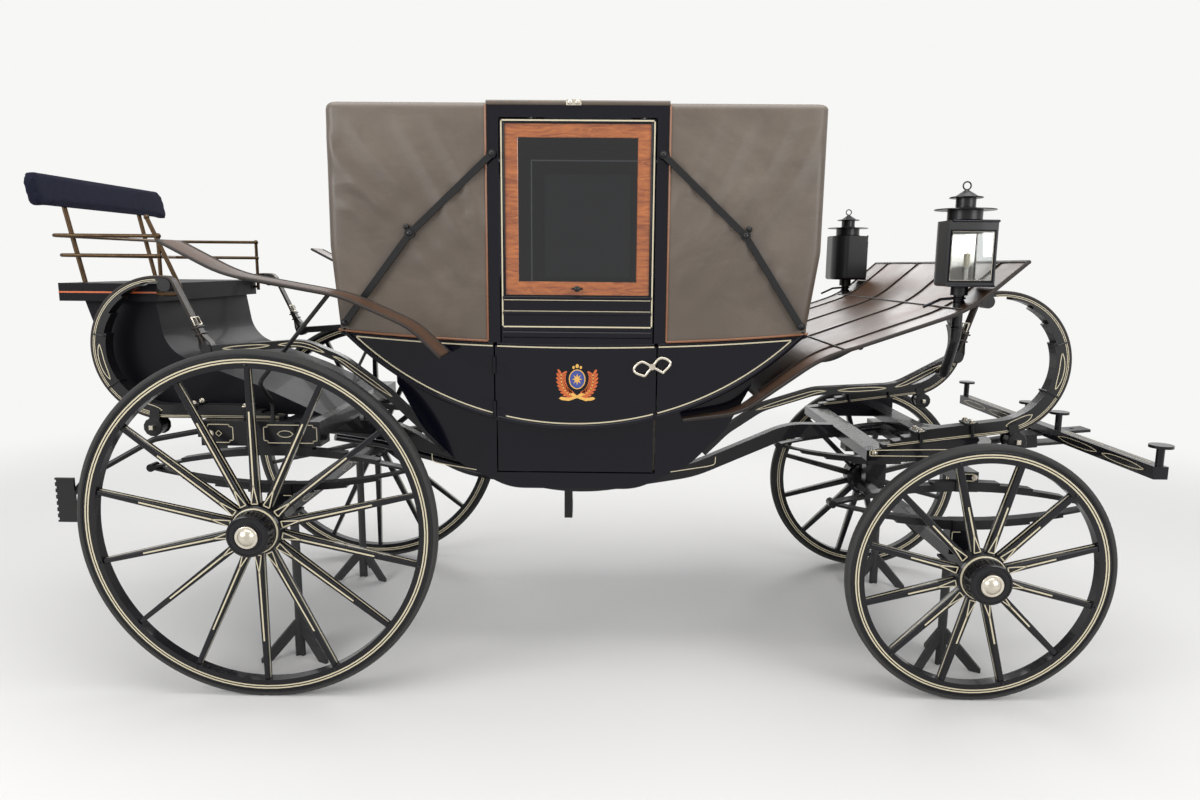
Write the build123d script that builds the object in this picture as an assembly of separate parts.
from build123d import *
import os
from math import atan2, cos, degrees, hypot, radians, sin, tan

# A postilion landau hung by leather braces from four C-springs.
# Millimetres. X points forward, Y to the left, Z up. While it is drawn, X is measured from the rear axle
# and Z from the ground; the finished part is moved so that X is measured from the middle of its length.

# Overall lengths
wheelbase = 2564.0
rear_overhang = 945.0            # rear axle to the back of the rumble seat
front_overhang = 736.0           # front axle to the tips of the pole jaws

# Wheels
rear_radius = 635.0
front_radius = 479.0
rear_half_track = 754.0          # middle of the tyre, at hub height
front_half_track = 709.0
camber = 1.1                     # degrees, the top leans outwards
tyre_width = 38.0
tyre_depth = 20.0
tyre_rounding = 7.0
felloe_depth = 44.0
felloe_width = 40.0
rear_spokes = 14
front_spokes = 12
spoke_foot = (30.0, 42.0)        # at the nave: round the wheel, along the axle
spoke_taper = 0.75               # degrees on each side
nave_radius = 88.0
nave_collar_radius = 76.0
nave_bead_radius = 82.0          # the raised ring in front of the spokes
nave_nose_radius = 72.0
nave_inner = 78.0                # length from the wheel's mid plane inwards
nave_outer = 96.0                # and outwards
cap_radius = 40.0
cap_length = 25.0
cap_crown = 30.0                 # radius of the cap's upper tier
cap_step = 10.0                  # height of its lower tier
arm_radius = 22.0
arm_clearance = 0.05             # running fit of the nave on the axle arm
side_play = 1.0                  # between nave and axle collar

# Axles, under-springs and beds
axle_depth = 48.0
axle_height = 50.0
spring_half_width_apart = 520.0  # middle of each elliptic spring from the centre line
spring_width = 46.0
leaf = 9.0
leaves = 4
spring_half_length = 490.0
spring_eye = 15.0
rear_spring_low = 703.0          # under the lower leaves, over the axle block
rear_spring_high = 885.0
front_spring_low = 592.0
front_spring_high = 776.0
bed_height = 40.0
transom_beam = 90.0              # width of its two cross beams
plate_outer = 300.0              # the turntable's ring plates
plate_inner = 255.0
plate_thick = 12.0
seat_gap = 0.3                   # between pieces that rest against each other
move_gap = 5.0                   # between pieces that move past each other

# C-springs and braces
c_half_width_apart = 475.0
c_width = 50.0
c_radius = 261.0
c_leaf = 10.0
c_leaves = 5
c_top_angle = 95.0
c_roll = 24.0                    # the roll at the upper tip, which the brace bends over
c_roll_onward = 4.0              # the roll stands this far beyond the leaf's end
c_leaf_step = 20.0               # each inner leaf ends this many degrees sooner
rear_c_x = -435.0
rear_c_z = 1240.0
front_c_x = wheelbase + 101.0
front_c_z = 1210.0
c_tail = 440.0
front_c_tilt = 7.5               # degrees, the tail drops towards the back
brace_width = 44.0
brace_thick = 9.0
jack_angle = -80.0
jack_radius = 30.0
loop_eye_z = 1238.0
loop_eye_radius = 20.0
loop_thick = 28.0
front_loop_line = [(698.0, 1040.0), (898.0, 1104.0), (1200.0, 1122.0)]
rear_loop_line = [(700.0, 1078.0), (869.0, 1206.0), (1010.0, 1266.0)]
rear_loop_reach = 1372.0         # from the middle of the body to the eye
front_loop_reach = 1412.0

# Pole jaws
jaw_rise = 5.0                   # degrees the pole jaws point upwards
jaw_z = 827.0
jaw_length = 338.0
jaw_gap = 32.0                   # slot for the pole
jaw_thick = 12.0
pole_pin = 9.0
pole_pin_back = 60.0             # from the tips

# Body
body_x = 1102.0                  # middle of the body
canoe_half_length = 828.0
canoe_tip_z = 1320.0
canoe_bottom_z = 970.0
belt_z = 1281.0                  # lowest point of the belt line
body_half_width = 600.0
wall = 30.0
set_in = 55.0                    # the lower panel is narrower by this on each side
lower_bottom_z = 735.0
lower_flat = 235.0               # half lengths from the middle of the body
lower_bend = 430.0
lower_bend_z = 830.0
lower_knee = 560.0
lower_knee_z = 962.0
lower_end = 650.0
lower_end_z = 1130.0
lower_rounding = 220.0

# Heads
rear_head_end = [(262.0, 1221.0), (262.0, 1330.0), (237.0, 1620.0), (241.0, 2308.0)]
front_head_end = [(1936.0, 1221.0), (1936.0, 1345.0), (1974.0, 1610.0), (1978.0, 2308.0)]
head_side_z = 2108.0
head_crown = 45.0
head_skin = 15.0
head_corner = 34.0               # rounding of the two upright corners at the end
head_edge = 20.0                 # rounding between roof, sides and end
head_bend = 500.0                # radius where the end changes its slope

# Doors
door_rear_x = 822.0
door_front_x = 1400.0
door_sill_z = 800.0
door_top_drop = 6.0              # the door's shoulder lies this far under the belt
pillar = 42.0
pillar_rear_x = 800.0
pillar_front_x = 1390.0
pillar_thick = 32.0
pillar_inset = 2.0               # the pillars' outer face lies this far inside the body's side
rail_height = 47.0
rail_bottom_z = 2060.0
frame_side = 15.0
window_low_z = 1455.0
window_high_z = 2040.0
window_wood = 44.0
pane = 5.0
hinge_out = 8.0                  # hinge axis outside the door's face
hinge_radius = 7.0
hinge_pin = 3.0
hinge_heights = (1030.0, 1190.0)
knuckle = 30.0
handle_z = 1205.0
handle_reach = 66.0              # half the bow's length
handle_rise = 24.0
handle_lean = 12.0               # degrees, the front loop stands higher
handle_rod = 5.0
handle_spindle = 7.0
handle_knot = 11.0
handle_stand_off = 20.0

# Joint irons of the heads
iron_upper_z = 1936.0
iron_knob_reach = 290.0          # from the pillar's middle
iron_knob_z = 1665.0
iron_lower_in = 29.0             # the lower stud stands this far inside the head's end
iron_lower_z = 1352.0

# Wings
front_wing_half_width = 800.0
wing_thick = 8.0
front_wing_line = [(1500.0, 1012.0), (1700.0, 1045.0), (1960.0, 1262.0), (2421.0, 1423.0), (2600.0, 1582.0)]
front_wing_bends = [220.0, 420.0, 420.0]
rear_wing_line = [(-262.0, 1626.0), (-60.0, 1520.0), (330.0, 1452.0), (560.0, 1350.0), (661.0, 1250.0)]
rear_wing_bends = [420.0, 500.0, 260.0]
rear_wing_width = 172.0
rear_wing_off = 28.0             # between the body's side and the wing's inner edge
rear_wing_y = body_half_width + rear_wing_off + rear_wing_width / 2

# Rumble
board_rear_x = -842.0
board_front_x = -470.0
board_low_z = 1412.0
board_high_z = 1479.0
board_half_width = c_half_width_apart - c_width / 2 - 10.0
boot_half_width = board_half_width - 40.0
rail_rod = 7.0
rails = ((1582.0, -836.0), (1655.0, -858.0))     # height, rear end
grab_rod = 8.0                   # the iron on the mounting side, which leans back over the rails' corner
grab_foot = (-374.0, 1440.0)
grab_top = (-492.0, 1723.0)
post_radius = 9.0
post_foot_x = board_rear_x - post_radius - seat_gap
post_top_x = -914.0
post_half_width_apart = 260.0
back_low_z = 1757.0
back_high_z = 1895.0
back_half_width = 462.0
back_thick = 44.0
back_lean = 26.0

# Lamps
lamp_x = 2418.0
lamp_y = 700.0
lamp_length = 160.0
lamp_width = 160.0
lamp_low_z = 1500.0
lamp_high_z = 1715.0
lamp_sheet = 4.0
lamp_margin = 11.0               # width of the metal beside a pane
lamp_sill = 20.0                 # and under it
lamp_head = 35.0                 # and over it
lamp_back_round = 70.0           # rounding of the case's upright corner behind the two reflectors
lamp_foot_round = 12.0           # and of its lower edge
chimney_radius = 56.0
chimney_height = 42.0
hood_radius = 98.0               # the thin disc over the chimney
hood_thick = 3.0
upper_chimney_radius = 32.0
upper_chimney_height = 36.0
cowl_radius = 52.0
cowl_height = 28.0
cowl_ring = 13.0                 # radius of the ring on top, of its wire's middle
cowl_wire = 2.5
lamp_stem_radius = 17.0

# Rear steps
tread_y = 600.0
tread_corner = (-808.0, 603.0)   # lower rear corner, X and Z
tread_width = 70.0
tread_length = 168.0
tread_thick = 10.0
tread_teeth = 7

# Axle stands
stand_y = 430.0
stand_post_radius = 17.0
stand_foot_reach = 150.0


def block(x0, x1, y0, y1, z0, z1):
    """A box between two corners."""
    return Pos((x0 + x1) / 2, (y0 + y1) / 2, (z0 + z1) / 2) * Box(x1 - x0, y1 - y0, z1 - z0)


def side_plate(points, y0, y1, bends=None):
    """A flat outline in X and Z, thick from y0 to y1; bends rounds its corners."""
    corners = [(x, 0, z) for x, z in points]
    if bends is None:
        outline = Polyline(*corners, close=True)
    else:
        outline = FilletPolyline(*corners, radius=bends, close=True)
    return Pos(0, y0, 0) * extrude(make_face(outline), amount=y1 - y0, dir=(0, 1, 0))


def across(x, z, radius, y0, y1):
    """A round bar along Y."""
    return Pos(x, (y0 + y1) / 2, z) * Rot(90, 0, 0) * Cylinder(radius, y1 - y0)


def upright(x, y, radius, z0, z1):
    """A round bar along Z."""
    return Pos(x, y, (z0 + z1) / 2) * Cylinder(radius, z1 - z0)


def flat_bar(points, bends, width, thick, y):
    """A flat bar, wide along Y, bent along points in X and Z."""
    path = FilletPolyline(*[(x, y, z) for x, z in points], radius=bends)
    section = Plane(origin=path @ 0, z_dir=path % 0, x_dir=(0, 1, 0)) * Rectangle(width, thick)
    return sweep(section, path)


def rod(points, bend, radius):
    """A round rod along points in space."""
    if len(points) == 2:
        path = Line(*points)
    else:
        path = FilletPolyline(*points, radius=bend)
    section = Plane(origin=path @ 0, z_dir=path % 0) * Circle(radius)
    return sweep(section, path)


def bent_leaf(cx, cz, inner, outer, start, end, y0, y1):
    """One curved spring leaf: part of a ring in X and Z, angles from +X towards +Z."""
    def at(radius, angle):
        return (cx + radius * cos(radians(angle)), 0, cz + radius * sin(radians(angle)))
    middle = (start + end) / 2
    edges = [
        ThreePointArc(at(outer, start), at(outer, middle), at(outer, end)),
        Line(at(outer, end), at(inner, end)),
        ThreePointArc(at(inner, end), at(inner, middle), at(inner, start)),
        Line(at(inner, start), at(outer, start)),
    ]
    return Pos(0, y0, 0) * extrude(make_face(edges), amount=y1 - y0, dir=(0, 1, 0))


def fused(pieces):
    """Pieces joined into one."""
    whole = pieces[0]
    for piece in pieces[1:]:
        whole = whole + piece
    return whole


def both_sides(piece):
    """A piece and its mirror image on the other side of the carriage."""
    return piece + mirror(piece, about=Plane.XZ)


def hub_height(radius):
    """Height of a leaning wheel's centre over the ground."""
    flat = tyre_width / 2 - tyre_rounding
    lean = radians(camber)
    return flat * sin(lean) + (radius - tyre_rounding) * cos(lean) + tyre_rounding


# Wheels. Each is drawn round its own Z axis, which points outwards, then leant and put in place.

def wheel_place(x, side, half_track, radius):
    turn = -side * (90 + camber)
    return Pos(x, side * half_track, hub_height(radius)) * Rot(turn, 0, 0)


def ring_profile(inner, outer, width, rounding):
    """A rectangle beside the axis, with its outer corners rounded."""
    sketch = Plane.XZ * Pos((inner + outer) / 2, 0) * Rectangle(outer - inner, width)
    outer_corners = sketch.vertices().sort_by(Axis.X)[-2:]
    return fillet(outer_corners, rounding)


def make_tyre(radius):
    return revolve(ring_profile(radius - tyre_depth, radius, tyre_width, tyre_rounding), Axis.Z)


def nave_profile():
    """Half section of the nave: inner collar, barrel, bead and nose, with the bore for the arm."""
    bore = arm_radius + arm_clearance
    face = spoke_foot[1] / 2
    stations = [
        (bore, -nave_inner),
        (nave_collar_radius - 8, -nave_inner),
        (nave_collar_radius, -nave_inner + 14),
        (nave_collar_radius, -nave_inner + 28),
        (nave_radius, -nave_inner + 40),
        (nave_radius, face + 5),
        (nave_bead_radius, face + 11),
        (nave_bead_radius, face + 17),
        (nave_collar_radius, face + 20),
        (nave_nose_radius, nave_outer - 14),
        (nave_nose_radius, nave_outer - 5),
        (nave_nose_radius - 5, nave_outer),
        (bore, nave_outer),
    ]
    return make_face(Polyline(*[(r, 0, z) for r, z in stations], close=True))


def make_wheel(radius, count):
    """Nave, spokes and felloe ring as one."""
    rim_outer = radius - tyre_depth
    rim_inner = rim_outer - felloe_depth
    rim = revolve(ring_profile(rim_inner, rim_outer, felloe_width, 4), Axis.Z)
    nave = revolve(nave_profile(), Axis.Z)
    reach = rim_inner + 6 - (nave_radius - 12)
    foot = Plane(origin=(nave_radius - 12, 0, 0), z_dir=(1, 0, 0), x_dir=(0, 1, 0))
    spoke = extrude(foot * RectangleRounded(*spoke_foot, 9), amount=reach, taper=spoke_taper)
    spokes = [Rot(0, 0, 360 * (i + 0.5) / count) * spoke for i in range(count)]
    return fused([nave, rim] + spokes)


def make_cap():
    """Brass cap that closes the nave: a round-edged lower tier, and a domed one on it."""
    seat = nave_outer + seat_gap
    edge = cap_step / 3
    dome = cap_length - cap_step
    bend = (cap_crown ** 2 + dome ** 2) / (2 * dome)
    lift = atan2(cap_crown, bend - dome) / 2
    half = radians(45)
    step = seat + cap_step
    top = seat + cap_length
    edge_middle = (cap_radius - edge * (1 - cos(half)), 0, step - edge * (1 - sin(half)))
    dome_middle = (bend * sin(lift), 0, top - bend * (1 - cos(lift)))
    outline = [
        Line((0, 0, seat), (cap_radius, 0, seat)),
        Line((cap_radius, 0, seat), (cap_radius, 0, step - edge)),
        ThreePointArc((cap_radius, 0, step - edge), edge_middle, (cap_radius - edge, 0, step)),
        Line((cap_radius - edge, 0, step), (cap_crown, 0, step)),
        ThreePointArc((cap_crown, 0, step), dome_middle, (0, 0, top)),
        Line((0, 0, top), (0, 0, seat)),
    ]
    return revolve(make_face(outline), Axis.Z)


def make_axle(x, half_track, radius):
    """Bar with a collar and a tapering arm at each end; the arms droop with the camber."""
    height = hub_height(radius)
    inner_end = half_track - nave_inner - side_play - 16
    bar = block(x - axle_depth / 2, x + axle_depth / 2, -inner_end, inner_end,
                height - axle_height / 2, height + axle_height / 2)
    arm = Pos(0, 0, (nave_outer - nave_inner - 30) / 2) * Cylinder(arm_radius, nave_outer + nave_inner - 10)
    collar = Pos(0, 0, -nave_inner - side_play - 10) * Cylinder(arm_radius + 16, 20)
    end = arm + collar
    for side in (-1, 1):
        bar = bar + wheel_place(x, side, half_track, radius) * end
    return bar


def elliptic(x, y, low, high):
    """A full elliptic spring: two leaf packs that meet at their eyes, one the mirror of the other."""
    y0 = y - spring_width / 2
    y1 = y + spring_width / 2
    middle_z = (low + high) / 2
    pack = leaf * leaves
    sag = middle_z - (low + pack) + leaf / 2
    bend = (spring_half_length ** 2 + sag ** 2) / (2 * sag)
    spread = degrees(2 * sag / hypot(spring_half_length, sag))
    pieces = []
    for k in range(leaves):
        share = 1 - k / leaves
        outer = bend + leaf / 2 + k * leaf
        half = spread * share
        centre_z = middle_z - sag + bend
        pieces.append(bent_leaf(x, centre_z, outer - leaf, outer, -90 - half, -90 + half, y0, y1))
    lower = fused(pieces)
    upper = Pos(0, 0, 2 * middle_z) * mirror(lower, about=Plane.XY)
    eyes = [across(x + s * spring_half_length, middle_z, spring_eye, y0, y1) for s in (-1, 1)]
    clip_half = 40.0
    clip = block(x - clip_half, x + clip_half, y0 - 6, y1 + 6, low, low + pack)
    upper_clip = block(x - clip_half, x + clip_half, y0 - 6, y1 + 6, high - pack, high)
    return fused([lower, upper, clip, upper_clip] + eyes)


def c_point(radius, angle, onward):
    """A point beside the C-spring's own centre, moved onward along the curve's tangent."""
    turn = radians(angle)
    return (radius * cos(turn) - onward * sin(turn), radius * sin(turn) + onward * cos(turn))


def c_spring(cx, cz, y, facing, tilt):
    """C-spring of stepped leaves with a straight tail; facing is +1 where it bulges forwards."""
    y0 = y - c_width / 2
    y1 = y + c_width / 2
    pieces = []
    for k in range(c_leaves):
        outer = c_radius - k * c_leaf
        end = c_top_angle - k * c_leaf_step
        pieces.append(bent_leaf(0, 0, outer - c_leaf, outer, -90, end, y0, y1))
        tail = c_tail - k * 40
        pieces.append(block(-tail, 0, y0, y1, -outer, -outer + c_leaf))
    roll_x, roll_z = c_point(c_radius - c_roll, c_top_angle, c_roll_onward)
    pieces.append(across(roll_x, roll_z, c_roll, y0, y1))
    drum = c_radius + brace_thick + 2 * seat_gap + jack_radius
    drum_x, drum_z = c_point(drum, jack_angle, 0)
    pieces.append(across(drum_x, drum_z, jack_radius, y0 - 7, y1 + 7))
    for cheek in (y0 - 7, y1):
        arm = block(c_radius - 30, drum, cheek, cheek + 7, -18, 18)
        pieces.append(Rot(0, -jack_angle, 0) * arm)
    spring = Rot(0, -tilt, 0) * fused(pieces)
    if facing < 0:
        spring = mirror(spring, about=Plane.YZ)
    return Pos(cx, 0, cz) * spring


def brace(cx, cz, y, facing, tilt, eye):
    """Leather brace: from the jack round the back of the C-spring, over its tip and down to the loop's eye."""
    radius = c_radius + seat_gap + brace_thick / 2
    half = brace_width / 2
    wrap = bent_leaf(0, 0, radius - brace_thick / 2, radius + brace_thick / 2,
                     jack_angle, c_top_angle, y - half, y + half)
    wrap = Rot(0, -tilt, 0) * wrap
    top_x, top_z = c_point(radius, c_top_angle + tilt, 0)
    bend = c_roll + seat_gap + brace_thick / 2
    eye_x = (eye[0] - cx) * facing
    eye_z = eye[1] - cz
    onward = radians(c_top_angle + tilt + 90)
    corner_x, corner_z = top_x, top_z
    for _ in range(5):
        down = atan2(eye_z - corner_z, eye_x - corner_x) % radians(360)
        past_tip = c_roll_onward + bend * tan((down - onward) / 2)
        corner_x, corner_z = c_point(radius, c_top_angle + tilt, past_tip)
    reach = 1 - (loop_eye_radius + seat_gap) / hypot(eye_x - corner_x, eye_z - corner_z)
    end_x = corner_x + (eye_x - corner_x) * reach
    end_z = corner_z + (eye_z - corner_z) * reach
    hang = flat_bar([(top_x, top_z), (corner_x, corner_z), (end_x, end_z)], [bend], brace_width, brace_thick, y)
    strap = wrap + hang
    if facing < 0:
        strap = mirror(strap, about=Plane.YZ)
    return Pos(cx, 0, cz) * strap


# Body shapes

canoe_sag = canoe_tip_z - canoe_bottom_z
canoe_radius = (canoe_half_length ** 2 + canoe_sag ** 2) / (2 * canoe_sag)
belt_sag = canoe_tip_z - belt_z
belt_radius = (canoe_half_length ** 2 + belt_sag ** 2) / (2 * belt_sag)
lower_half_width = body_half_width - set_in


def below_belt(shape, gap):
    """What lies under the belt line, lowered by gap."""
    tool = across(body_x, belt_z - gap + belt_radius, belt_radius, -2000, 2000)
    return shape - tool


def above_belt(shape, gap):
    """What lies over the belt line, raised by gap."""
    tool = across(body_x, belt_z + gap + belt_radius, belt_radius, -2000, 2000)
    return shape & tool


def canoe(inset):
    """The boat-shaped upper body, smaller all round by inset."""
    half = body_half_width - inset
    return across(body_x, canoe_bottom_z + canoe_radius, canoe_radius - inset, -half, half)


def inward(points, inset):
    """An open outline that rises to the right, moved in by inset: each corner stays between its two sides."""
    moved = []
    for before, here, after in zip(points, points[1:], points[2:]):
        first = atan2(here[1] - before[1], here[0] - before[0])
        second = atan2(after[1] - here[1], after[0] - here[0])
        middle = (first + second) / 2
        reach = inset / cos((second - first) / 2)
        moved.append((here[0] - reach * sin(middle), here[1] + reach * cos(middle)))
    return moved


def lower_body(inset):
    """The set-in lower body, smaller all round by inset."""
    half = lower_half_width - inset
    top_z = lower_end_z + 60
    right = inward([(0, lower_bottom_z), (lower_flat, lower_bottom_z), (lower_bend, lower_bend_z),
                    (lower_knee, lower_knee_z), (lower_end, lower_end_z), (lower_end, top_z)], inset)
    right.append((lower_end - inset, top_z))
    bends = [lower_rounding, lower_rounding, lower_rounding, 0, 0]
    points = [(body_x + x, z) for x, z in right] + [(body_x - x, z) for x, z in reversed(right)]
    return side_plate(points, -half, half, bends + bends[::-1])


hinge_x = door_rear_x - move_gap / 2
hinge_y = body_half_width + hinge_out


def hull(inset):
    return below_belt(canoe(inset), 0) + lower_body(inset)


def doorway(gap, low, high):
    """The space of both doors, smaller all round by gap; open to the outside."""
    tool = None
    depth = set_in + wall + 5
    for side in (-1, 1):
        outer = side * (body_half_width + 40)
        inner = side * (body_half_width - depth)
        piece = block(door_rear_x - move_gap + gap, door_front_x + move_gap - gap,
                      min(outer, inner), max(outer, inner), low + gap, high)
        tool = piece if tool is None else tool + piece
    return tool


def make_shell():
    """Both walls, ends and bottom of the body, open at the top, with the two doorways."""
    whole = hull(0)
    hollow = canoe(wall) + lower_body(wall)
    shell = whole - hollow
    shell = shell - doorway(0, door_sill_z - move_gap, canoe_tip_z + 100)
    for side in (-1, 1):
        for z in hinge_heights:
            y0 = min(side * body_half_width, side * (body_half_width + 3))
            y1 = max(side * body_half_width, side * (body_half_width + 3))
            strap = block(hinge_x - 40, hinge_x, y0, y1, z + knuckle / 2 + 0.5, z + knuckle * 1.5)
            barrel = upright(hinge_x, side * hinge_y, hinge_radius, z + knuckle / 2 + 0.5, z + knuckle * 1.5)
            pin = upright(hinge_x, side * hinge_y, hinge_pin, z - knuckle / 2, z + knuckle)
            shell = shell + strap + barrel + pin
    return shell


def swing_limit(front_x, face):
    """Keeps a door's front edge inside the arc that clears the jamb as it swings."""
    reach = hypot(front_x - hinge_x, hinge_y - face)
    return reach


def make_door(side):
    """Door: its share of the wall, with an upper frame round the window, trimmed to its swing."""
    low = door_sill_z - move_gap
    share = (hull(0) - canoe(wall) - lower_body(wall)) & doorway(move_gap, low, belt_z - door_top_drop)
    if side < 0:
        share = share & block(0, 3000, -1000, 0, 0, 3000)
    else:
        share = share & block(0, 3000, 0, 1000, 0, 3000)
    frame_x0 = pillar_rear_x + pillar + move_gap
    frame_x1 = pillar_front_x - move_gap
    outer = body_half_width
    inner = body_half_width - wall
    y0 = min(side * outer, side * inner)
    y1 = max(side * outer, side * inner)
    frame = block(frame_x0, frame_x1, y0, y1, belt_z - door_top_drop - 40, rail_bottom_z - move_gap)
    hole = block(frame_x0 + frame_side, frame_x1 - frame_side, y0 - 5, y1 + 5, window_low_z, window_high_z)
    door = share + (frame - hole)
    reach = swing_limit(door_front_x, body_half_width)
    door = door & upright(hinge_x, side * hinge_y, reach, 0, 3000)
    upper_reach = swing_limit(frame_x1, body_half_width)
    upper = upright(hinge_x, side * hinge_y, reach + 200, belt_z, 3000)
    upper = upper - upright(hinge_x, side * hinge_y, upper_reach, belt_z - 1, 3001)
    door = door - upper
    for z in hinge_heights:
        s0 = min(side * body_half_width, side * (body_half_width + 3))
        s1 = max(side * body_half_width, side * (body_half_width + 3))
        strap = block(hinge_x, hinge_x + 40, s0, s1, z - knuckle / 2, z + knuckle / 2)
        barrel = upright(hinge_x, side * hinge_y, hinge_radius, z - knuckle / 2, z + knuckle / 2)
        door = door + strap + barrel
        door = door - upright(hinge_x, side * hinge_y, hinge_pin + arm_clearance, z - knuckle, z + knuckle)
    return door


def window_opening():
    return (pillar_rear_x + pillar + move_gap + frame_side, pillar_front_x - move_gap - frame_side)


def make_window_frame(side):
    """Varnished wood frame of the glass, in the door's upper frame."""
    x0, x1 = window_opening()
    x0 += seat_gap
    x1 -= seat_gap
    z0 = window_low_z + seat_gap
    z1 = window_high_z - seat_gap
    y_out = side * (body_half_width - 4)
    y_in = side * (body_half_width - 26)
    y0 = min(y_out, y_in)
    y1 = max(y_out, y_in)
    frame = block(x0, x1, y0, y1, z0, z1)
    return frame - block(x0 + window_wood, x1 - window_wood, y0 - 5, y1 + 5, z0 + window_wood, z1 - window_wood)


def make_pane(side):
    x0, x1 = window_opening()
    x0 += window_wood + 2 * seat_gap
    x1 -= window_wood + 2 * seat_gap
    middle = side * (body_half_width - 15)
    z0 = window_low_z + window_wood + 2 * seat_gap
    z1 = window_high_z - window_wood - 2 * seat_gap
    return block(x0, x1, middle - pane / 2, middle + pane / 2, z0, z1)


def make_handle(side):
    """Handle like a tied bow, on a short spindle near the door's free edge."""
    x = door_front_x - 15
    root = side * (body_half_width + seat_gap)
    y = root + side * handle_stand_off
    lean = radians(handle_lean)

    def at(along, up):
        return (x + along * cos(lean) - up * sin(lean), y, handle_z + along * sin(lean) + up * cos(lean))

    handle = across(x, handle_z, handle_spindle, min(root, y), max(root, y))
    handle = handle + across(x, handle_z, handle_knot, y - handle_rod - 1, y + handle_rod + 1)
    for way in (-1, 1):
        points = [at(0, 0), at(way * handle_reach * 0.6, handle_rise), at(way * handle_reach, 0),
                  at(way * handle_reach * 0.6, -handle_rise), at(0, 0)]
        out = Vector(*at(way, 0.8)) - Vector(*at(0, 0))
        back = Vector(*at(-way, 0.8)) - Vector(*at(0, 0))
        path = Spline(*points, tangents=[out, back])
        section = Plane(origin=path @ 0, z_dir=path % 0) * Circle(handle_rod)
        handle = handle + sweep(section, path)
    return handle


# Heads

crown_radius = (body_half_width ** 2 + head_crown ** 2) / (2 * head_crown)


def under_crown(drop):
    """Everything under the arched roof line, lowered by drop."""
    centre = head_side_z + head_crown - crown_radius
    return Pos(body_x, 0, centre) * Rot(0, 90, 0) * Cylinder(crown_radius - drop, 4000)


def at_end_corner(edge, meet, facing):
    """An upright edge at the head's end, on either side."""
    box = edge.bounding_box()
    away = (meet - (box.min.X + box.max.X) / 2) * facing
    flat = box.max.Y - box.min.Y < 1
    return flat and away > body_half_width / 2 and box.max.Z - box.min.Z > 1 and box.max.X - box.min.X < 60


def at_roof_rim(edge, meet, facing):
    """An edge of the arched roof, apart from the one where the two heads meet."""
    middle = edge @ 0.5
    out = min(abs(middle.Y), body_half_width)
    height = head_side_z + head_crown - crown_radius + (crown_radius ** 2 - out ** 2) ** 0.5
    return abs(middle.Z - height) < 3 and abs(middle.X - meet) > 1


def make_head(profile, facing):
    """Leather head: end, two sides and half of the roof. facing is +1 where the open side looks forwards."""
    meet = body_x - facing * seat_gap / 2
    end = [(x, z) for x, z in profile]
    half = body_half_width
    outline = [(meet, belt_z - 60)] + end + [(meet, head_side_z + 200)]
    outer = side_plate(outline, -half, half, [0, 0, head_bend, head_bend, 0, 0])
    outer = outer & under_crown(0)
    corners = [e for e in outer.edges() if at_end_corner(e, meet, facing)]
    outer = fillet(corners, head_corner)
    rims = [e for e in outer.edges() if at_roof_rim(e, meet, facing)]
    outer = fillet(rims, head_edge)
    inset = [(x + facing * head_skin, z) for x, z in end]
    beyond = meet + facing * 10
    inner = side_plate([(beyond, belt_z - 70)] + inset + [(beyond, head_side_z + 200)],
                       -half + head_skin, half - head_skin)
    shell = outer - (inner & under_crown(head_skin))
    post_x = pillar_rear_x if facing > 0 else pillar_front_x + pillar
    edge = post_x - facing * seat_gap
    cut = block(min(edge, beyond), max(edge, beyond), -700, 700,
                belt_z - 80, rail_bottom_z + rail_height + seat_gap)
    return above_belt(shell - cut, seat_gap)


def make_pillars():
    """Two hoops: a pair of posts each, with half of the rail over the doors and a roof bow."""
    pieces = []
    out = body_half_width - pillar_inset
    top = rail_bottom_z + rail_height
    for post_x, meet in ((pillar_rear_x, body_x - seat_gap / 2), (pillar_front_x, body_x + seat_gap / 2)):
        hoop = []
        for side in (-1, 1):
            y0 = min(side * out, side * (out - pillar_thick))
            y1 = max(side * out, side * (out - pillar_thick))
            post = block(post_x, post_x + pillar, y0, y1, belt_z - 20, rail_bottom_z + 5)
            hoop.append(above_belt(post, seat_gap))
            far = post_x if post_x < meet else post_x + pillar
            hoop.append(block(min(far, meet), max(far, meet), y0, y1, rail_bottom_z, top))
        bow = block(post_x, post_x + pillar, -out + 5, out - 5, top - 40, top + 200)
        bow = bow & under_crown(head_skin + 1)
        bow = bow - (block(post_x - 5, post_x + pillar + 5, -out + 60, out - 60, top - 60, top + 200)
                     & under_crown(head_skin + 40))
        hoop.append(bow)
        pieces.append(fused(hoop))
    return pieces


def make_joint_irons():
    """Folding irons outside the heads: two arms with a knuckle between them, on a stud at each end."""
    irons = []
    rear = (pillar_rear_x + pillar / 2, -1, rear_head_end[1][0] + iron_lower_in)
    front = (pillar_front_x + pillar / 2, 1, front_head_end[1][0] - iron_lower_in)
    for post_x, way, lower_x in (rear, front):
        for side in (-1, 1):
            y_in = body_half_width + 8
            y_out = y_in + 12
            y0 = min(side * y_in, side * y_out)
            y1 = max(side * y_in, side * y_out)
            a = (post_x, iron_upper_z)
            b = (post_x + way * iron_knob_reach, iron_knob_z)
            c = (lower_x, iron_lower_z)
            pieces = []
            for p, q in ((a, b), (b, c)):
                pieces.append(link(p, q, 11, y0, y1))
            for p, carrier in ((a, body_half_width - pillar_inset), (c, body_half_width)):
                s0 = side * (carrier + seat_gap)
                s1 = side * (y_in + 2)
                pieces.append(across(p[0], p[1], 9, min(s0, s1), max(s0, s1)))
            pieces.append(across(b[0], b[1], 17, y0 - 4, y1 + 4))
            irons.append(fused(pieces))
    return irons


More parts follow.
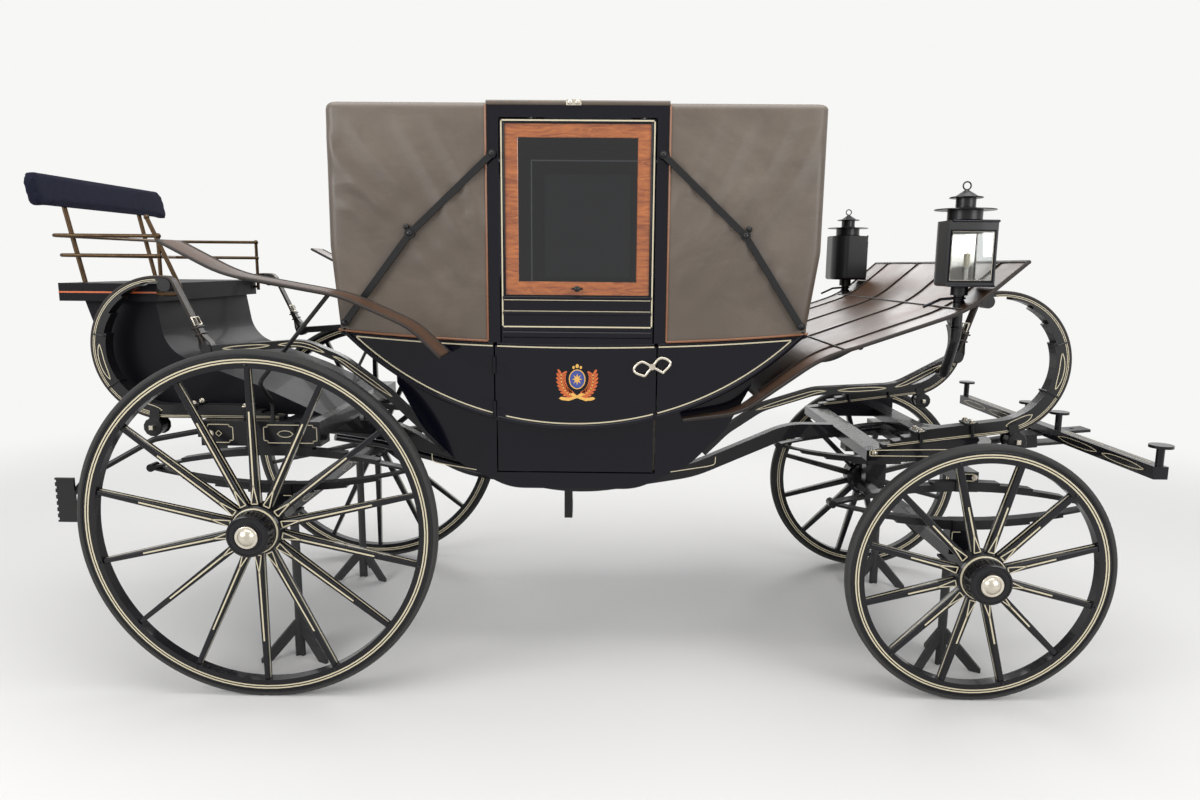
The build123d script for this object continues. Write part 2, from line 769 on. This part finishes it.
def link(p, q, half, y0, y1):
    """A straight arm with round ends, in X and Z."""
    run = hypot(q[0] - p[0], q[1] - p[1])
    slope = degrees(atan2(q[1] - p[1], q[0] - p[0]))
    middle = Pos((p[0] + q[0]) / 2, (y0 + y1) / 2, (p[1] + q[1]) / 2)
    arm = middle * Rot(0, -slope, 0) * Box(run, y1 - y0, 2 * half)
    return arm + across(p[0], p[1], half * 1.3, y0, y1) + across(q[0], q[1], half * 1.3, y0, y1)


# Perch carriage

rear_bed_top = rear_c_z - c_radius - seat_gap
front_bed_low = front_spring_high + bed_height + 2 * plate_thick + move_gap
front_bed_top = front_bed_low + bed_height
king_x = wheelbase
transom_rear_x = king_x - 364
transom_front_x = king_x + 46


def make_perch():
    """The bent pole that joins the carriage, and the two stays that fork from it to the rear bed."""
    rear_end = 12 - 60
    line = [(rear_end, 870), (300, 850), (600, 680), (1110, 596), (1600, 680),
            (transom_rear_x - 190, 862), (transom_rear_x - seat_gap, 862)]
    bends = [260, 420, 900, 500, 300]
    perch = flat_bar(line, bends, 54, 58, 0)
    for side in (-1, 1):
        stay = rod([(180, side * 440, 900), (330, side * 330, 850), (700, side * 22, 660)], 150, 14)
        perch = perch + stay
    saddle = block(20, 150, -27, 27, 870, rear_spring_high + 30)
    perch = perch + saddle
    hanger = block(1040, 1075, -27, 27, 460, 590) - block(1030, 1085, -18, 18, 480, 540)
    return perch + hanger


def make_rear_axle():
    axle = make_axle(0, rear_half_track, rear_radius)
    top = hub_height(rear_radius) + axle_height / 2
    for side in (-1, 1):
        y = side * spring_half_width_apart
        axle = axle + block(-50, 50, y - 32, y + 32, top - 5, rear_spring_low - seat_gap)
    return axle


def make_rear_bed():
    """Frame on the rear springs: two cross beams and the sides that carry the C-springs."""
    low = rear_spring_high + seat_gap
    y_out = spring_half_width_apart + 30
    beams = []
    for x0, x1 in ((-285.0, -150.0), (12.0, 160.0)):
        beams.append(block(x0, x1, -y_out, y_out, low + 30, rear_bed_top))
    for side in (-1, 1):
        y0 = min(side * (c_half_width_apart - 30), side * y_out)
        y1 = max(side * (c_half_width_apart - 30), side * y_out)
        beams.append(block(-285, 160, y0, y1, low, rear_bed_top))
    return fused(beams)


def make_front_transom():
    """Fixed upper part of the turntable: two cross beams, sides, ring plate and king pin."""
    pieces = []
    y_out = c_half_width_apart + 30
    for x0 in (transom_rear_x, transom_front_x - transom_beam):
        pieces.append(block(x0, x0 + transom_beam, -y_out, y_out, front_bed_low, front_bed_top))
    for side in (-1, 1):
        y0 = min(side * (c_half_width_apart - 30), side * y_out)
        y1 = max(side * (c_half_width_apart - 30), side * y_out)
        slope = tan(radians(front_c_tilt))
        under = front_c_z - c_radius / cos(radians(front_c_tilt)) - seat_gap
        top = [(x, under + (x - front_c_x) * slope) for x in (transom_rear_x + 40, transom_front_x)]
        seat = [(transom_rear_x, front_bed_low), (transom_front_x, front_bed_low), top[1], top[0],
                (transom_rear_x, top[0][1] - 6)]
        pieces.append(side_plate(seat, y0, y1))
    ring = upright(king_x, 0, plate_outer, front_bed_low - plate_thick, front_bed_low)
    ring = ring - upright(king_x, 0, plate_inner, front_bed_low - 20, front_bed_low + 5)
    pin = upright(king_x, 0, 16, front_spring_high - 30, front_bed_low + 5)
    return fused(pieces + [ring, pin])


def loop_eye(way):
    """Middle of a body loop's eye in X and Z; way is 1 in front and -1 behind."""
    reach = front_loop_reach if way > 0 else rear_loop_reach
    return (body_x + way * reach, loop_eye_z)


def make_loops():
    """Body loops: irons under the body that reach out to the braces, two in front and two behind."""
    slope = atan2(lower_knee_z - lower_bend_z, lower_knee - lower_bend)
    off = loop_thick / 2 + seat_gap
    foot = (lower_bend + 45 + off * sin(slope), lower_bend_z + 45 * tan(slope) - off * cos(slope))
    bend = (lower_knee + off * sin(slope), lower_knee_z - off * cos(slope))
    loops = []
    for way in (-1, 1):
        eye = loop_eye(way)
        line = [foot, bend] + (front_loop_line if way > 0 else rear_loop_line)
        points = [(body_x + way * x, z) for x, z in line] + [eye]
        for side in (-1, 1):
            y = side * c_half_width_apart
            loop = flat_bar(points, [200] * (len(points) - 2), 44, loop_thick, y)
            loops.append(loop + across(eye[0], eye[1], loop_eye_radius, y - 26, y + 26))
    return loops


# Forecarriage

def make_fore_bed():
    """Turning lower part of the turntable: bed over the springs, ring plate, bored for the king pin."""
    low = front_spring_high + seat_gap
    top = front_spring_high + bed_height
    y_out = spring_half_width_apart + 30
    bed = block(king_x - 40, king_x + 40, -y_out, y_out, low, top)
    ring = upright(king_x, 0, plate_outer, top, top + plate_thick)
    ring = ring - upright(king_x, 0, plate_inner, top - 5, top + 20)
    spine = block(king_x - 310, king_x + 40, -40, 40, low, top)
    whole = bed + ring + spine
    return whole - upright(king_x, 0, 16 + arm_clearance, low - 50, top + 50)


jaw_lean = radians(jaw_rise)
jaw_x = wheelbase + front_overhang - jaw_length * cos(jaw_lean) - (jaw_gap / 2 + jaw_thick) * sin(jaw_lean)


def make_futchells():
    """Two bars forward of the bed that close on the jaws for the pole, with the pin hole through both jaws."""
    low = front_spring_high + seat_gap
    middle = low + bed_height / 2
    start = king_x + 40 + seat_gap
    pieces = []
    for side in (-1, 1):
        pieces.append(rod([(start, side * 120, middle), (king_x + 100, side * 120, middle),
                           (king_x + 320, side * 84, middle), (jaw_x + 40, side * 46, jaw_z)], 150, 17))
    outer = jaw_gap / 2 + jaw_thick
    jaws = block(0, 100, -62, 62, -outer, outer)
    jaws = jaws + block(0, jaw_length, -40, 40, -outer, outer)
    jaws = jaws - block(100, jaw_length + 10, -70, 70, -jaw_gap / 2, jaw_gap / 2)
    jaws = jaws - upright(jaw_length - pole_pin_back, 0, pole_pin, -60, 60)
    jaws = Pos(jaw_x, 0, jaw_z) * Rot(0, -jaw_rise, 0) * jaws
    return fused(pieces + [jaws])


def make_splinter_bar():
    """Bar across the front, with four roller bolts for the traces."""
    x = wheelbase + 542
    z = jaw_z + 53.0
    bolt_top = z + 88
    bar = block(x - 24, x + 24, -795, 795, z - 22, z + 22)
    jaw_top = jaw_z + (x + 24 - jaw_x) * tan(radians(jaw_rise)) + (jaw_gap / 2 + jaw_thick) * 1.01
    bar = bar - block(x - 30, x + 30, -64, 64, z - 55, jaw_top + seat_gap)
    bolts = []
    for y in (-780, -130, 130, 780):
        bolts.append(upright(x, y, 13, z + 15, bolt_top))
        bolts.append(upright(x, y, 38, bolt_top - 2, bolt_top + 8))
    return fused([bar] + bolts)


def make_front_axle():
    axle = make_axle(king_x, front_half_track, front_radius)
    top = hub_height(front_radius) + axle_height / 2
    for side in (-1, 1):
        y = side * spring_half_width_apart
        axle = axle + block(king_x - 50, king_x + 50, y - 32, y + 32, top - 5, front_spring_low - seat_gap)
    return axle


# Seats

def make_floor():
    """Floor boards on the bottom of the body."""
    half = lower_half_width
    board = block(body_x - 300, body_x + 300, -half, half, lower_bottom_z, lower_bottom_z + wall + 20)
    return board & lower_body(wall + seat_gap)


def make_seat_frames():
    """Seat boxes at both ends of the cabin, cut to the body's inner curve."""
    frames = []
    floor = lower_bottom_z + wall + 20 + seat_gap
    half = lower_half_width - wall - 5
    room = lower_body(wall + seat_gap)
    for way in (-1, 1):
        def span(a, b):
            return (min(body_x + way * a, body_x + way * b), max(body_x + way * a, body_x + way * b))
        x0, x1 = span(290, 310)
        front = block(x0, x1, -half, half, floor, 1080)
        x0, x1 = span(290, 700)
        top = block(x0, x1, -half, half, 1062, 1080)
        frames.append((front + top) & room)
    return frames


def make_seat_cushions():
    cushions = []
    half = lower_half_width - wall - 10
    for way in (-1, 1):
        a = body_x + way * 275
        b = body_x + way * 584
        cushions.append(block(min(a, b), max(a, b), -half, half, 1080 + seat_gap, 1180))
    return cushions


def make_seat_backs():
    backs = []
    half = lower_half_width - wall - 10
    low = 1180 + seat_gap
    for way in (-1, 1):
        points = [(body_x + way * x, z) for x, z in ((592, low), (520, low), (700, 1660), (780, 1660))]
        backs.append(side_plate(points, -half, half))
    return backs


# Rumble

def make_boot():
    """Box on the rear bed, with a swept front."""
    low = rear_bed_top + seat_gap
    top = board_low_z - seat_gap
    points = [(-770, top), (-500, top), (-470, 1220), (-120, 1090), (120, low), (-600, low), (-700, 1180)]
    return side_plate(points, -boot_half_width, boot_half_width, [0, 0, 140, 200, 0, 60, 120])


def make_board():
    return block(board_rear_x, board_front_x, -board_half_width, board_half_width, board_low_z, board_high_z)


def post_axis(z):
    """X of the back's posts at a height: upright on the board's rear edge, then leaning to the back."""
    share = (z - board_high_z) / (back_low_z + 40 - board_high_z)
    return post_foot_x + share * (post_top_x - post_foot_x)


def make_rails():
    """Rails round the rumble seat on their posts, and the two posts that carry its back."""
    y = board_half_width - 8
    front = board_front_x + 15
    pieces = []
    for z, rear in rails:
        pieces.append(rod([(front, -y, z), (rear, -y, z), (rear, y, z), (front, y, z)], 30, rail_rod))
    for side in (-1, 1):
        pieces.append(upright(front, side * y, rail_rod, board_low_z + 20, rails[1][0]))
        foot_z = board_low_z + 35
        foot_end = board_front_x + seat_gap
        pieces.append(rod([(front, side * y, foot_z), (foot_end, side * y, foot_z)], 0, rail_rod - 1))
        pieces.append(Pos(front, side * y, rails[1][0]) * Sphere(rail_rod + 4))
        pieces.append(Pos(front, side * y, rails[0][0]) * Sphere(rail_rod + 3))
        yp = side * post_half_width_apart
        pieces.append(rod([(post_foot_x, yp, board_low_z + 12), (post_foot_x, yp, board_high_z),
                           (post_top_x, yp, back_low_z + 40)], 60, post_radius))
        for z, rear in rails:
            pieces.append(rod([(post_axis(z), yp, z), (rear, yp, z)], 0, rail_rod - 1))
    grab = [(board_front_x + seat_gap, -y, grab_foot[1]), (grab_foot[0], -y, grab_foot[1]),
            (grab_top[0], -y, grab_top[1])]
    pieces.append(rod(grab, 25, grab_rod))
    pieces.append(Pos(grab_top[0], -y, grab_top[1]) * Sphere(grab_rod + 2))
    return fused(pieces)


def make_back():
    """Padded back of the rumble seat."""
    x = -rear_overhang
    points = [(x + back_lean, back_low_z), (x + back_lean + back_thick, back_low_z),
              (x + back_thick, back_high_z), (x, back_high_z)]
    pad = side_plate(points, -back_half_width, back_half_width, [14, 14, 14, 14])
    for side in (-1, 1):
        y = side * post_half_width_apart
        post = [(post_foot_x, y, board_high_z), (post_top_x, y, back_low_z + 41)]
        pad = pad - rod(post, 0, post_radius + seat_gap)
    return pad


# Wings

def make_front_wing():
    """One curved sheet in front of the body, cut out round the lower body, its tails along the body's sides."""
    sheet = flat_bar(front_wing_line, front_wing_bends, 2 * front_wing_half_width, wing_thick, 0)
    plan = Polyline((1450, 620), (1700, 660), (2050, front_wing_half_width), (2800, front_wing_half_width),
                    (2800, -front_wing_half_width), (2050, -front_wing_half_width), (1700, -660),
                    (1450, -620), close=True)
    sheet = sheet & (Pos(0, 0, 900) * extrude(make_face(plan), amount=900, dir=(0, 0, 1)))
    sheet = sheet - lower_body(-seat_gap) - canoe(-seat_gap)
    for side in (-1, 1):
        sheet = sheet - upright(lamp_x, side * lamp_y, lamp_stem_radius + seat_gap, 1200, 1600)
    return sheet.solids().sort_by(SortBy.VOLUME)[-1]


def make_rear_wings():
    wings = []
    for side in (-1, 1):
        wing = flat_bar(rear_wing_line, rear_wing_bends, rear_wing_width, 6, side * rear_wing_y)
        foot = rear_bed_top + seat_gap
        y = side * (rear_wing_y - 46)
        low_y = side * (spring_half_width_apart + 10)
        stay = [(262, y, 1462), (166, y, 1348), (-6, y, 1140), (-20, low_y, foot + 70), (-20, low_y, foot)]
        wing = wing + rod(stay, 40, 8)
        wings.append(wing)
    return wings


# Lamps

def lamp_case(inset):
    """Outer form of the case, smaller all round by inset, with a round upright corner behind the reflectors."""
    rear = lamp_x - lamp_length / 2 + inset
    inner = lamp_y - lamp_width / 2 + inset
    case = block(rear, lamp_x + lamp_length / 2 - inset, inner, lamp_y + lamp_width / 2 - inset,
                 lamp_low_z + inset, lamp_high_z - inset)
    upright_edges = case.edges().filter_by(Axis.Z)
    case = fillet(upright_edges.sort_by(Axis.X)[:2].sort_by(Axis.Y)[0], lamp_back_round - inset)
    foot = []
    for edge in case.faces().sort_by(Axis.Z)[0].edges():
        middle = edge @ 0.5
        if middle.X - rear < lamp_back_round / 2 or middle.Y - inner < lamp_back_round / 2:
            foot.append(edge)
    return fillet(foot, lamp_foot_round - inset)


def make_lamp():
    """Case with two glazed sides and a rounded back, and a chimney under two covers with a ring on top."""
    case = lamp_case(0) - lamp_case(lamp_sheet)
    outer_y = lamp_y + lamp_width / 2
    front_x = lamp_x + lamp_length / 2
    half_length = lamp_length / 2 - lamp_margin
    half_width = lamp_width / 2 - lamp_margin
    low = lamp_low_z + lamp_sill
    high = lamp_high_z - lamp_head
    case = case - block(lamp_x - half_length, lamp_x + half_length, outer_y - 10, outer_y + 10, low, high)
    case = case - block(front_x - 10, front_x + 10, lamp_y - half_width, lamp_y + half_width, low, high)
    foot = lamp_high_z - lamp_sheet / 2
    hood = foot + chimney_height
    cowl = hood + upper_chimney_height
    peak = cowl + cowl_height
    cone_foot = cowl + hood_thick
    chimney = [
        upright(lamp_x, lamp_y, chimney_radius, foot, hood),
        upright(lamp_x, lamp_y, hood_radius, hood - hood_thick, hood),
        upright(lamp_x, lamp_y, upper_chimney_radius, hood, cowl),
        upright(lamp_x, lamp_y, cowl_radius, cowl, cone_foot),
        Pos(lamp_x, lamp_y, (cone_foot + peak) / 2) * Cone(cowl_radius - 8, 5, peak - cone_foot),
        Pos(lamp_x, lamp_y, peak + cowl_ring) * Rot(90, 0, 0) * Torus(cowl_ring, cowl_wire),
    ]
    socket = upright(lamp_x, lamp_y, 28, lamp_low_z - 30, lamp_low_z + lamp_sheet / 2)
    return fused([case, socket] + chimney)


def make_panes():
    outer_y = lamp_y + lamp_width / 2
    front_x = lamp_x + lamp_length / 2
    low = lamp_low_z + lamp_sill + seat_gap
    high = lamp_high_z - lamp_head - seat_gap
    half_length = lamp_length / 2 - lamp_margin - seat_gap
    half_width = lamp_width / 2 - lamp_margin - seat_gap
    side_pane = block(lamp_x - half_length, lamp_x + half_length, outer_y - 3.5, outer_y - 0.5, low, high)
    front_pane = block(front_x - 3.5, front_x - 0.5, lamp_y - half_width, lamp_y + half_width, low, high)
    return [side_pane, front_pane]


def make_lamp_iron():
    """Stem under the lamp, cranked inwards to the body loop."""
    eye = loop_eye(1)
    top = lamp_low_z - 30 - seat_gap
    path = [(lamp_x, lamp_y, top), (lamp_x, lamp_y, 1330), (eye[0] - 60, c_half_width_apart + 60, 1180),
            (eye[0] - 60, c_half_width_apart + 22 + seat_gap, 1180)]
    return rod(path, 40, lamp_stem_radius)


# Small pieces

def make_steps():
    """Irons that reach out behind the rear wheels, each with its folding tread turned up."""
    steps = []
    rear_x, tread_low = tread_corner
    for side in (-1, 1):
        y = side * c_half_width_apart
        out = side * tread_y
        line = [(-300, y, 930), (-480, side * 520, 900), (-700, out - side * 10, 770), (rear_x + 40, out, 690)]
        iron = rod(line, 60, 11)
        lug = block(-325, -285 - seat_gap, y - 20, y + 20, 905, 955)
        face = out + side * 5
        tread = block(rear_x, rear_x + tread_width, min(face, face + side * tread_thick),
                      max(face, face + side * tread_thick), tread_low, tread_low + tread_length)
        for k in range(tread_teeth):
            z = tread_low + tread_length * (k + 0.5) / tread_teeth
            tread = tread - block(rear_x - 1, rear_x + 5, -800, 800, z - 5, z + 5)
        steps.append(fused([iron, lug, tread]))
    return steps


def make_stand(x, side, under):
    """Axle stand: a post with a cradle plate, on three splayed feet."""
    y = side * stand_y
    post = upright(x, y, stand_post_radius, 20, under)
    plate = block(x - 32, x + 32, y - 26, y + 26, under - 10, under)
    pieces = [post, plate]
    for k in range(3):
        turn = 90 + 120 * k
        rise = 150.0
        foot = side_plate([(0, 0), (0, rise), (20, rise), (stand_foot_reach, 14), (stand_foot_reach, 0),
                           (stand_foot_reach - 40, 0), (20, 90), (20, 0)], -7, 7)
        pieces.append(Pos(x, y, 0) * Rot(0, 0, turn) * foot)
    return fused(pieces)


nodes = {}


def add(name, shape):
    nodes[name] = shape


sides = (("left", 1), ("right", -1))
for end_name, x, half_track, radius, count in (
    ("rear", 0.0, rear_half_track, rear_radius, rear_spokes),
    ("front", wheelbase, front_half_track, front_radius, front_spokes),
):
    tyre = make_tyre(radius)
    wheel = make_wheel(radius, count)
    cap = make_cap()
    for side_name, side in sides:
        place = wheel_place(x, side, half_track, radius)
        add(f"{end_name}_{side_name}_tyre", place * tyre)
        add(f"{end_name}_{side_name}_wheel", place * wheel)
        add(f"{end_name}_{side_name}_hub_cap", place * cap)

add("rear_axle", make_rear_axle())
add("front_axle", make_front_axle())
add("rear_springs", both_sides(elliptic(0, spring_half_width_apart, rear_spring_low, rear_spring_high)))
add("front_springs", both_sides(elliptic(king_x, spring_half_width_apart, front_spring_low, front_spring_high)))
add("rear_bed", make_rear_bed())
add("front_transom", make_front_transom())
add("fore_bed", make_fore_bed())
add("futchells", make_futchells())
add("splinter_bar", make_splinter_bar())
add("perch", make_perch())
add("rear_c_springs", both_sides(c_spring(rear_c_x, rear_c_z, c_half_width_apart, -1, 0)))
add("front_c_springs", both_sides(c_spring(front_c_x, front_c_z, c_half_width_apart, 1, front_c_tilt)))
add("rear_braces", both_sides(brace(rear_c_x, rear_c_z, c_half_width_apart, -1, 0, loop_eye(-1))))
add("front_braces", both_sides(brace(front_c_x, front_c_z, c_half_width_apart, 1, front_c_tilt, loop_eye(1))))
add("body_loops", Compound(make_loops()))
add("body_shell", make_shell())
add("cabin_floor", make_floor())
add("seat_frames", Compound(make_seat_frames()))
add("seat_cushions", Compound(make_seat_cushions()))
add("seat_backs", Compound(make_seat_backs()))
add("rear_head", make_head(rear_head_end, 1))
add("front_head", make_head(front_head_end, -1))
add("head_pillars", Compound(make_pillars()))
add("joint_irons", Compound(make_joint_irons()))
for side_name, side in sides:
    add(f"{side_name}_door", make_door(side))
    add(f"{side_name}_window_frame", make_window_frame(side))
    add(f"{side_name}_window_pane", make_pane(side))
    add(f"{side_name}_door_handle", make_handle(side))
add("boot", make_boot())
add("rumble_board", make_board())
add("rumble_rails", make_rails())
add("rumble_back", make_back())
add("rear_wings", Compound(make_rear_wings()))
add("front_wing", make_front_wing())
add("lamps", both_sides(make_lamp()))
panes = make_panes()
add("lamp_panes", Compound(panes + [mirror(p, about=Plane.XZ) for p in panes]))
add("lamp_irons", both_sides(make_lamp_iron()))
add("rear_steps", Compound(make_steps()))
rear_under = hub_height(rear_radius) - axle_height / 2 - seat_gap
front_under = hub_height(front_radius) - axle_height / 2 - move_gap
stands = []
for x, under in ((0.0, rear_under), (king_x, front_under)):
    stands += [make_stand(x, side, under) for side in (-1, 1)]
add("axle_stands", Compound(stands))

shift = Pos(-(wheelbase + front_overhang - rear_overhang) / 2, 0, 0)
os.makedirs("parts", exist_ok=True)
for name, shape in nodes.items():
    export_step(shift * shape, f"parts/{name}.step")
